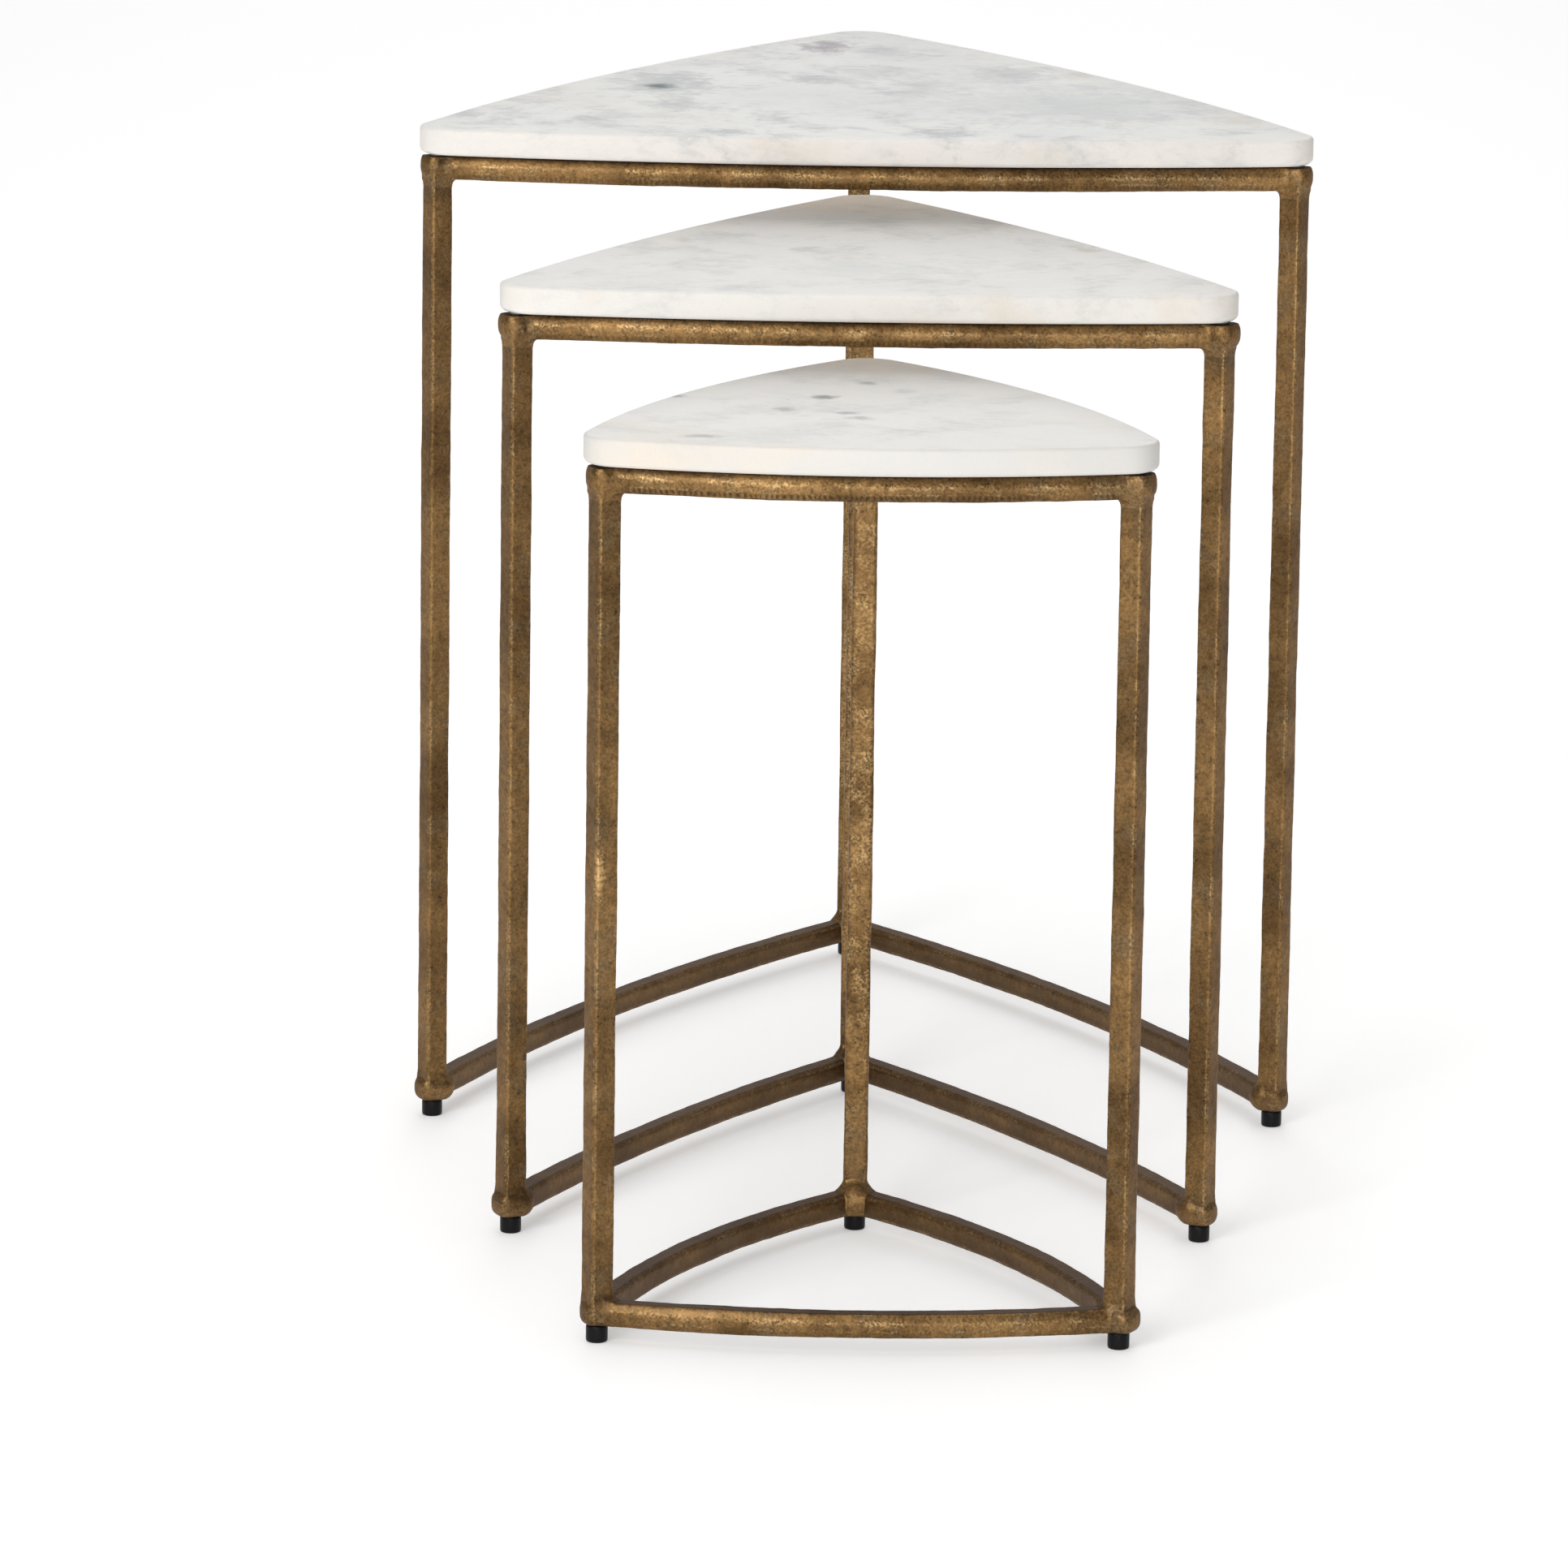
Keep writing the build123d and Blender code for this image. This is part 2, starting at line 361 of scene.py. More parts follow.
def makeMarble(table, look):
    stone, seed = stoneLook, look["seed"]
    material, tree, shader, place = startMaterial("marble_" + table["kind"])
    local = vectorMath(tree, "SUBTRACT", place, (0, table["middle"], table["slabHigh"]))[0]
    turned = addNode(tree, "ShaderNodeMapping", Vector=local, Rotation=(0, 0, math.radians(look["turn"])),
                     Scale=look["stretch"]).outputs[0]
    warp = addNode(tree, "ShaderNodeTexNoise", {"noise_dimensions": "4D"}, Vector=turned, W=seed,
                   Scale=stone["warpScale"], Detail=3.0).outputs["Color"]
    pushed = vectorMath(tree, "MULTIPLY_ADD", warp, stone["warp"], turned)[0]
    drawn = vectorMath(tree, "MULTIPLY", pushed, stone["drawOut"])[0]
    noises = {}
    for name, layer in stoneLayers.items():
        scale, detail, ahead, rough, distortion = layer["noise"]
        where = drawn if layer["drawn"] else pushed
        noises[name] = noiseNode(tree, where, scale, detail, seed + ahead, rough, distortion)
    warmth = noiseNode(tree, pushed, 16.0, 4.0, seed + 9, 0.6)
    grain = noiseNode(tree, place, 900.0, 2.0, 0.0, 0.5)
    side = shaderAttribute(tree, "side")
    colour = mixColour(tree, side, look["base"], look["side"])
    calm = scaled(tree, side, stone["calmSide"], 1.0)
    beside = rampNode(tree, noises["streak"], *stone["besideRange"])
    beside = scaled(tree, beside, stone["beside"], stone["elsewhere"])
    for name, layer in stoneLayers.items():
        mask = times(tree, rampNode(tree, noises[name], *layer["range"]), times(tree, calm, look[name]))
        if layer["drawn"]:
            mask = times(tree, mask, beside)
        colour = mixColour(tree, mask, colour, stoneTones[layer["tone"]])
    stain = scaled(tree, side, look["sideStain"], look["warmth"])
    blush = times(tree, rampNode(tree, warmth, *stone["blushRange"]), stain)
    colour = mixColour(tree, blush, colour, stoneTones["blush"])
    for number, (x, y, wide, deep, strength, tone) in enumerate(look["patches"]):
        ragged = patchLook["raggedDark" if tone in ("charcoal", "slate") else "ragged"]
        size = (wide, deep, patchLook["high"])
        mask = useGroup(tree, stonePatch, Place=local, Centre=(x, y, 0.0), Size=size, Seed=seed + number,
                        Ragged=ragged)["Mask"]
        colour = mixColour(tree, times(tree, mask, strength), colour, stoneTones[tone])
    speckle = times(tree, rampNode(tree, grain, *stone["grainRange"]), stone["grain"])
    colour = mixColour(tree, speckle, colour, stoneTones["vein"])
    roughness = scaled(tree, grain, stone["roughGrain"], stone["rough"])
    finishMaterial(tree, shader, stone, colour, roughness, grain)
    return material


# plain materials: two colours mixed by a fine grain, and what else the shader needs
plainLooks = {
    "blackNylon": {"scale": 1500.0, "detail": 2.0, "dark": (0.003, 0.003, 0.004, 1),
                   "light": (0.009, 0.008, 0.009, 1), "rough": 0.26, "roughGrain": 0.2,
                   "bump": (0.2, 0.0001), "sockets": {"Specular IOR Level": 0.14}},
    "clearPad": {"scale": 900.0, "detail": 2.0, "dark": (0.5, 0.47, 0.42, 1),
                 "light": (0.72, 0.7, 0.66, 1), "rough": 0.15, "roughGrain": 0.15, "sockets": {"Alpha": 0.6}},
    "zincSteel": {"scale": 1200.0, "detail": 3.0, "dark": (0.4, 0.4, 0.41, 1),
                  "light": (0.65, 0.65, 0.66, 1), "rough": 0.3, "roughGrain": 0.2,
                  "sockets": {"Metallic": 1.0}},
}


def makePlain(name):
    look = plainLooks[name]
    material, tree, shader, place = startMaterial(name)
    grain = noiseNode(tree, place, look["scale"], look["detail"])
    colour = mixColour(tree, grain, look["dark"], look["light"])
    finishMaterial(tree, shader, look, colour, scaled(tree, grain, look["roughGrain"], look["rough"]), grain)
    return material


patina = makePatinaGroup()
brass = {kind: makeBrass("antiqueBrass_" + kind, 3.0 * number, patina) for number, kind in enumerate(kinds)}
# patches: x and y from the table's middle, half sizes, strength and tone
marbleLooks = {
    "large": {"base": (0.802, 0.797, 0.77, 1), "side": (0.81, 0.765, 0.715, 1), "sideStain": 0.5,
              "warmth": 0.16, "stretch": (0.9, 0.75, 1.0), "turn": 8, "seed": 2.0,
              "cloud": 0.52, "streak": 0.46, "wisp": 0.6, "fine": 0.5, "patches": (
        (-0.118, 0.052, 0.026, 0.046, 0.85, "vein"), (-0.127, 0.036, 0.013, 0.012, 1.0, "charcoal"),
        (-0.023, 0.228, 0.019, 0.034, 1.0, "mauve"), (-0.033, 0.078, 0.018, 0.022, 0.85, "vein"),
        (-0.114, -0.041, 0.018, 0.030, 0.7, "vein"), (-0.243, -0.091, 0.012, 0.024, 0.7, "vein"),
        (-0.085, -0.156, 0.018, 0.018, 0.85, "vein"), (0.048, -0.150, 0.020, 0.028, 0.85, "vein"),
        (0.018, 0.214, 0.012, 0.024, 0.5, "vein"), (0.088, 0.105, 0.022, 0.045, 0.5, "vein"),
        (0.135, 0.113, 0.014, 0.022, 0.35, "tan"), (0.130, -0.030, 0.095, 0.085, 0.7, "grey"),
        (0.225, -0.085, 0.020, 0.022, 0.25, "tan"))},
    "medium": {"base": (0.805, 0.788, 0.757, 1), "side": (0.79, 0.76, 0.715, 1), "sideStain": 0.4,
               "warmth": 0.2, "stretch": (0.9, 0.8, 1.0), "turn": -6, "seed": 5.0,
               "cloud": 0.30, "streak": 0.26, "wisp": 0.32, "fine": 0.32, "patches": (
        (-0.036, 0.023, 0.011, 0.013, 0.55, "vein"), (0.128, 0.032, 0.008, 0.010, 0.5, "tan"),
        (-0.005, -0.046, 0.045, 0.035, 0.45, "grey"), (-0.107, 0.054, 0.006, 0.012, 0.35, "tan"),
        # the last patch here is painted warm bounce light on the shaded back corner
        (-0.080, -0.125, 0.012, 0.012, 0.35, "vein"), (0.0, 0.215, 0.080, 0.055, 0.7, "apexLight"))},
    "small": {"base": (0.81, 0.793, 0.76, 1), "side": (0.665, 0.645, 0.612, 1), "sideStain": 0.4,
              "warmth": 0.3, "stretch": (0.7, 1.0, 1.0), "turn": 40, "seed": 9.0,
              "cloud": 0.15, "streak": 0.24, "wisp": 0.22, "fine": 0.2, "patches": (
        (-0.025, 0.043, 0.008, 0.009, 0.85, "slate"), (-0.001, 0.093, 0.006, 0.008, 0.55, "slate"),
        (-0.013, -0.006, 0.008, 0.006, 0.6, "slate"), (-0.006, -0.022, 0.008, 0.007, 0.5, "slate"),
        (-0.047, 0.004, 0.008, 0.009, 0.55, "slate"), (-0.108, 0.041, 0.005, 0.005, 0.6, "slate"),
        (-0.094, -0.085, 0.012, 0.007, 0.5, "slate"), (0.020, 0.067, 0.008, 0.010, 0.4, "vein"),
        (-0.055, -0.080, 0.030, 0.025, 0.25, "vein"),
        # painted warm bounce light on the shaded back corner
        (0.0, 0.165, 0.070, 0.045, 0.55, "apexLight"))},
}
# the tone of the medium and small tops' last patch is painted warm bounce light under the table above
stoneTones = {"apexLight": (0.92, 0.815, 0.68, 1), "grey": (0.60, 0.62, 0.615, 1),
              "vein": (0.46, 0.472, 0.474, 1), "slate": (0.20, 0.215, 0.22, 1),
              "charcoal": (0.06, 0.085, 0.09, 1), "mauve": (0.36, 0.33, 0.35, 1),
              "tan": (0.50, 0.40, 0.29, 1), "blush": (0.74, 0.655, 0.55, 1)}
stonePatch = makeStonePatchGroup()
marble = {kind: makeMarble(tables[kind], marbleLooks[kind]) for kind in kinds}
nylon, padPlastic, zinc = [makePlain(name) for name in plainLooks]
print("materials made")


# the cast surface that bars and knuckles share, so that they meet without a step

# how deep and how wide each kind of unevenness is, in metres
reliefLook = {"Wander": 0.0005, "Wander Size": 0.05, "Dents": 0.0003, "Dent Size": 0.010,
              "Pits": 0.00007, "Pit Size": 0.0035}


def makeReliefGroup():
    inputs = [(label, "Float", value) for label, value in reliefLook.items()]
    inputs.append(("Seed", "Float", 0.0))
    tree, start, end = newTree("castRelief", "GeometryNodeTree", inputs, [("Height", "Float")])
    place = tree.nodes.new("GeometryNodeInputPosition").outputs[0]
    total = 0.0
    for amount, size in (("Wander", "Wander Size"), ("Dents", "Dent Size"), ("Pits", "Pit Size")):
        noise = noiseNode(tree, place, math2(tree, "DIVIDE", 1.0, start[size]), 1.0, start["Seed"])
        term = times(tree, scaled(tree, noise, 2.0, -1.0), start[amount])
        total = math2(tree, "ADD", total, term)
    tree.links.new(total, end["Height"])
    return tree


def storeValue(tree, geometry, name, value):
    stored = addNode(tree, "GeometryNodeStoreNamedAttribute", Geometry=geometry, Name=name, Value=value)
    return stored.outputs[0]


def finishCast(tree, end, geometry, height, material):
    normal = tree.nodes.new("GeometryNodeInputNormal").outputs[0]
    up = addNode(tree, "ShaderNodeSeparateXYZ", _0=normal).outputs["Z"]
    # upward drives the painted shade on top faces
    geometry = storeValue(tree, geometry, "upward", up)
    offset = addNode(tree, "ShaderNodeVectorMath", {"operation": "SCALE"}, _0=normal, Scale=height).outputs[0]
    geometry = addNode(tree, "GeometryNodeSetPosition", Geometry=geometry, Offset=offset).outputs[0]
    geometry = addNode(tree, "GeometryNodeSetShadeSmooth", Geometry=geometry).outputs[0]
    geometry = addNode(tree, "GeometryNodeRealizeInstances", Geometry=geometry).outputs[0]
    geometry = addNode(tree, "GeometryNodeSetMaterial", Geometry=geometry, Material=material).outputs[0]
    tree.links.new(geometry, end["Geometry"])


# file marks: strokes across a filed face, shaken off a straight row, that come and go in patches
fileLook = {"pitch": 0.0032, "shakeScale": 90.0, "shake": 2.2, "strokeRange": (0.16, 0.40),
            "patchScale": 14.0, "patchRange": (0.31, 0.46)}


def makeBarTree(relief):
    look = fileLook
    inputs = [("Geometry", "Geometry", None), ("Section", "Object", None),
              ("Step", "Float", 0.002), ("Seed", "Float", 0.0),
              ("File Depth", "Float", 0.0), ("File Pitch", "Float", look["pitch"]),
              ("File Show", "Float", 0.0), ("Material", "Material", None)]
    tree, start, end = newTree("castBar", "GeometryNodeTree", inputs, [("Geometry", "Geometry")])
    seed = start["Seed"]
    path = addNode(tree, "GeometryNodeResampleCurve", {"mode": "LENGTH"}, Curve=start["Geometry"],
                   Length=start["Step"])
    length = tree.nodes.new("GeometryNodeSplineParameter").outputs["Length"]
    path = storeValue(tree, path.outputs[0], "along", length)
    section = addNode(tree, "GeometryNodeObjectInfo", Object=start["Section"]).outputs["Geometry"]
    section = addNode(tree, "GeometryNodeMeshToCurve", Mesh=section).outputs[0]
    bar = addNode(tree, "GeometryNodeCurveToMesh", _0=path, _1=section, _3=True).outputs[0]
    height = useGroup(tree, relief, Seed=seed)["Height"]
    along = addNode(tree, "GeometryNodeInputNamedAttribute", Name="along").outputs[0]
    filed = addNode(tree, "GeometryNodeInputNamedAttribute", Name="filed").outputs[0]
    place = tree.nodes.new("GeometryNodeInputPosition").outputs[0]
    shake = times(tree, noiseNode(tree, place, look["shakeScale"], 2.0, seed), look["shake"])
    turns = math2(tree, "ADD", math2(tree, "DIVIDE", along, start["File Pitch"]), shake)
    stroke = math2(tree, "PINGPONG", turns, 0.5)
    patch = rampNode(tree, noiseNode(tree, place, look["patchScale"], 1.0, seed), *look["patchRange"])
    stroke = times(tree, rampNode(tree, stroke, *look["strokeRange"]), start["File Show"])
    cut = times(tree, times(tree, stroke, filed), patch)
    # the file strokes are darkened in the patina as painted shade
    bar = storeValue(tree, bar, "groove", cut)
    cut = times(tree, cut, times(tree, start["File Depth"], -1.0))
    finishCast(tree, end, bar, math2(tree, "ADD", height, cut), start["Material"])
    return tree


def makeSkinTree(relief):
    inputs = [("Geometry", "Geometry", None), ("Seed", "Float", 0.0),
              ("Material", "Material", None)]
    tree, start, end = newTree("castSkin", "GeometryNodeTree", inputs, [("Geometry", "Geometry")])
    height = useGroup(tree, relief, Seed=start["Seed"])["Height"]
    finishCast(tree, end, start["Geometry"], height, start["Material"])
    return tree


relief = makeReliefGroup()
barTree = makeBarTree(relief)
skinTree = makeSkinTree(relief)


# bars: square stock, the rails with a broad upper and lower bevel on their outer side

legBar = {"bevel": 0.0011, "wearReach": 0.0007, "wear": 0.48}
railBar = {"upperHeight": 0.005, "upperDepth": 0.0024, "lowerHeight": 0.0044, "lowerDepth": 0.0022,
           "inner": 0.0018, "crestReach": 0.0021, "crest": 0.65, "crestFull": 1.3}
sectionLook = {"spacing": 0.0011, "rounding": 0.35, "rounds": 2}


def sidesOf(corners):
    ends = [np.array(corner) for corner in corners]
    return zip(ends, ends[1:] + ends[:1])


def legCorners(half):
    b = legBar["bevel"]
    return [(half, half - b), (half - b, half), (b - half, half), (-half, half - b),
            (-half, b - half), (b - half, -half), (half - b, -half), (half, b - half)]


def railCorners(half):
    r = railBar
    return [(half, half - r["upperHeight"]), (half - r["upperDepth"], half), (r["inner"] - half, half),
            (-half, half - r["inner"]), (-half, r["inner"] - half), (r["inner"] - half, -half),
            (half - r["lowerDepth"], -half), (half, r["lowerHeight"] - half)]


# the rails' inner side is shaded, most of all low down
innerLook = {"gain": 2.5, "start": -1.4, "least": 0.5, "downGain": 1.6, "downStart": 0.3}


def innerShade(x, y):
    down = min(max(y / half * innerLook["downGain"] + innerLook["downStart"], 0), 1)
    inward = min(max(-x / half * innerLook["gain"] + innerLook["start"], 0), 1)
    return inward * (innerLook["least"] + (1 - innerLook["least"]) * down)


def makeSection(name, corners, crestCorner=None, filedEdge=None):
    points, wear, filed = [], [], []
    for number, (a, b) in enumerate(sidesOf(corners)):
        length = np.linalg.norm(b - a)
        count = max(2, round(length / sectionLook["spacing"]))
        for step in range(count):
            t = step / count
            points.append(a + (b - a) * t)
            wear.append(legBar["wear"] * max(0.0, 1 - min(t, 1 - t) * length / legBar["wearReach"]))
            filed.append(math.sin(math.pi * t) if number == filedEdge else 0.0)
    points = np.array(points)
    # the crest band is partly real edge wear and partly a painted highlight
    if crestCorner is not None:
        away = np.linalg.norm(points - corners[crestCorner], axis=1) / railBar["crestReach"]
        wear = np.maximum(wear, railBar["crest"] * np.clip(railBar["crestFull"] - away, 0, 1))
    for repeat in range(sectionLook["rounds"]):
        soft = (np.roll(points, 1, 0) + np.roll(points, -1, 0)) / 2
        points = points + (soft - points) * sectionLook["rounding"]
    mesh = bpy.data.meshes.new(name)
    edges = [(i, (i + 1) % len(points)) for i in range(len(points))]
    mesh.from_pydata([(x, y, 0) for x, y in points], edges, [])
    thing = bpy.data.objects.new(name, mesh)
    scene.collection.objects.link(thing)
    setPointValues(thing, "wear", wear)
    setPointValues(thing, "filed", filed)
    if crestCorner is not None:
        setPointValues(thing, "shade", [innerShade(x, y) for x, y in points])
    return thing


half = tables["large"]["half"]
legSection = makeSection("legSection", legCorners(half))
downCorners = [(x, -y) for x, y in railCorners(half)][::-1]
railSection = makeSection("railSection", downCorners, crestCorner=7, filedEdge=0)


def makePath(name, points, upright=False, tilt=0.0):
    curve = bpy.data.curves.new(name, "CURVE")
    curve.dimensions = "3D"
    curve.twist_mode = "MINIMUM" if upright else "Z_UP"
    spline = curve.splines.new("POLY")
    spline.points.add(len(points) - 1)
    for point, (x, y, z) in zip(spline.points, points):
        point.co = (x, y, z, 1)
        point.tilt = tilt
    thing = bpy.data.objects.new(name, curve)
    scene.collection.objects.link(thing)
    return thing


barLook = {"endInset": 0.007, "step": 0.0018, "fineStep": 0.0008, "pathSteps": 96, "fileDepth": 0.00035,
           "fileShow": {"large": 0.45, "medium": 0.45, "small": 1.0}}


def finishPiece(thing, table, part):
    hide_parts(table["kind"] + "_" + part)
    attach(thing, table["kind"] + "_table")


def makeRail(table, level, side):
    kind = table["kind"]
    z = table["railZ"][level]
    reach = table["sweep"] - barLook["endInset"] / table["radius"]
    steps = barLook["pathSteps"]
    points = []
    for step in range(steps + 1):
        a = sideAngles[side] + math.degrees(reach * (step / (steps / 2) - 1))
        flat = around(a, table["radius"]) + around(sideAngles[side], table["centre"])
        points.append((flat[0], flat[1] + table["middle"], z))
    path = makePath(f"{kind}{level.capitalize()}Rail{side.capitalize()}", points)
    filed = side == "front" and level == "top"
    values = {"Section": railSection, "Step": barLook["fineStep" if side == "front" else "step"],
              "Seed": table["seed"], "File Depth": barLook["fileDepth"],
              "File Show": barLook["fileShow"][kind] if filed else 0.0, "Material": brass[kind]}
    rail = applyTree(path, barTree, values)
    finishPiece(rail, table, f"{level}_rail_{side}")


# a filled casting flaw: a raised, brighter blob on one leg's front edge, with a nick above it
repair = {"table": "small", "corner": "left", "out": 0.0050, "across": 0.0067, "height": 0.269,
          "long": 0.0155, "wide": 0.0034, "full": 1.2, "proud": 0.0008, "outward": 0.3, "bright": 1.5,
          "waves": 2100, "wave": 0.3, "nickIn": 0.001, "nickAbove": 1.05, "nickSize": 0.0013,
          "nickShape": (1, 1, 1.6), "nickFull": 1.5, "nickDeep": 0.9}


def addRepair(leg, table):
    look, corner = repair, cornerAngles[repair["corner"]]
    a = math.radians(corner)
    points = np.array([v.co for v in leg.data.vertices])
    spot = around(corner, table["corner"] + look["out"], look["across"])
    nick = around(corner, table["corner"] + look["across"] - look["nickIn"], look["across"])
    nickZ = look["height"] + look["long"] * look["nickAbove"]
    away = points - np.array([nick[0], nick[1] + table["middle"], nickZ])
    nicked = np.linalg.norm(away / look["nickShape"], axis=1) / look["nickSize"]
    nicked = np.clip(look["nickFull"] - nicked, 0, 1)
    aside = np.hypot(points[:, 0] - spot[0], points[:, 1] - table["middle"] - spot[1])
    near = np.hypot(aside / look["wide"], (points[:, 2] - look["height"]) / look["long"])
    ripple = 1 + look["wave"] * np.sin(points[:, 2] * look["waves"])
    amount = np.clip(look["full"] - near, 0, 1)**0.5 * ripple
    out = look["outward"]
    push = np.array([out * math.cos(a) - math.sin(a), out * math.sin(a) + math.cos(a), 0]) * look["proud"]
    points += (amount - look["nickDeep"] * nicked)[:, None] * push
    leg.data.vertices.foreach_set("co", points.ravel())
    setPointValues(leg, "wear", np.maximum(pointValues(leg, "wear"), amount * look["bright"]))
    # the nick is darkened in the patina as painted shade
    setPointValues(leg, "groove", nicked)
    leg.data.update()


# shaded under the slab, and the back legs also near the floor, with a painted highlight along the length
# above that
legShade = {"top": 0.6, "topReach": 0.018, "foot": 0.6, "footReach": 0.075, "bright": 0.5, "brightFrom": 0.03,
            "brightReach": 0.08}


def makeLeg(table, corner):
    look, kind = legShade, table["kind"]
    x, y = around(cornerAngles[corner], table["corner"])
    points = [(x, y + table["middle"], table["railZ"][level]) for level in ("base", "top")]
    tilt = math.radians(cornerAngles[corner])
    path = makePath(f"{kind}Leg{corner.capitalize()}", points, upright=True, tilt=tilt)
    values = {"Section": legSection, "Step": barLook["step"], "Seed": table["seed"], "Material": brass[kind]}
    leg = applyTree(path, barTree, values)
    high = np.array([v.co.z for v in leg.data.vertices])
    below = table["railZ"]["top"] - table["half"] - high
    above = high - table["railZ"]["base"]
    shade = look["top"] * np.clip(1 - below / look["topReach"], 0, 1)
    if corner == "back":
        shade = np.maximum(shade, look["foot"] * np.clip(1 - above / look["footReach"], 0, 1))
        # a painted highlight on the back legs above the foot, added to the edge wear
        bright = look["bright"] * np.clip((above - look["brightFrom"]) / look["brightReach"], 0, 1)
        setPointValues(leg, "wear", np.maximum(pointValues(leg, "wear"), bright))
    setPointValues(leg, "shade", shade)
    if (kind, corner) == (repair["table"], repair["corner"]):
        addRepair(leg, table)
    finishPiece(leg, table, "leg_" + corner)


# knuckles: a smooth union of the leg, the rails and a swelling, meshed on a grid
# ball: what fills the inside of a foot knuckle, a larger one at the back
# bulge: how far the left, right and back knuckles stand out, in millimetres
# flatAt: where the large table's knuckles are dressed flat
knuckle = {
    "cell": 0.0007, "gridHalf": 0.0232, "gridIn": 0.004, "gridSpare": 0.002,
    "legReach": 0.008, "railReach": 0.015, "legEnd": 0.003, "grow": 0.0004, "sink": 0.0003, "crease": 0.0005,
    "fillet": {"top": 0.0044, "base": 0.0046}, "square": {"top": 2.6, "base": 3.0},
    "tall": {"top": 0.0098, "base": 0.0079}, "raised": {"top": 0.001, "base": 0},
    "outer": 0.0086, "bulgeStep": 0.00103, "narrow": 0.9, "swell": 0.0085, "flatAt": 0.0102,
    "lip": 0.0017, "lipOut": 0.0007, "lipSlope": (0.3, 0.7),
    "frontBall": {"in": 0.0055, "up": 0.0006, "deep": 0.0090, "wide": 0.0092, "above": 0.0084,
                  "below": 0.0084, "scale": 0.0085, "blend": 0.0026},
    "backBall": {"in": 0.0048, "up": 0.0015, "deep": 0.0108, "wide": 0.0101, "above": 0.0108, "below": 0.0088,
                 "scale": 0.0098, "blend": 0.0042},
    "blobs": 4, "blobLean": 2.2, "blobRadius": (0.0018, 0.0034), "blobOut": 0.0003, "blobLift": 0.004,
    "bulge": {"large": {"top": (1.4, 1.7, 1.0), "base": (1.4, 0.8, 1.0)},
              "medium": {"top": (2.2, 2.6, 1.4), "base": (1.8, 1.2, 1.2)},
              "small": {"top": (1.6, 1.9, 1.4), "base": (0.5, 2.7, 1.4)}},
}
# wear on what stands out, painted shade in what is hollow, and the back feet shaded away from their middle
knuckleLook = {"wearGain": 4, "wearMost": 0.8, "grooveGain": 14, "grooveFrom": 0.6, "grooveMost": 0.9,
               "shade": {"top": 0.0, "base": 0.3},
               "backShade": 0.55, "backFrom": 0.012, "backReach": 0.007, "backLeast": 0.15}


def softUnion(a, b, blend):
    h = np.clip(0.5 + 0.5 * (b - a) / blend, 0, 1)
    return b + (a - b) * h - blend * h * (1 - h)


def sectionField(corners, u, v):
    field = np.full(u.shape, -1.0)
    for a, b in sidesOf(corners):
        normal = np.array([b[1] - a[1], a[0] - b[0]]) / np.linalg.norm(b - a)
        if normal @ a < 0:
            normal = -normal
        field = np.maximum(field, normal[0] * (u - a[0]) + normal[1] * (v - a[1]))
    return field


def taper(distance, reach):
    t = np.clip(distance / reach, 0, 1)
    return knuckle["grow"] * (1 - t) - knuckle["sink"] * t


def turnBetween(corner, side):
    return (cornerAngles[corner] - sideAngles[side] + 180) % 360 - 180


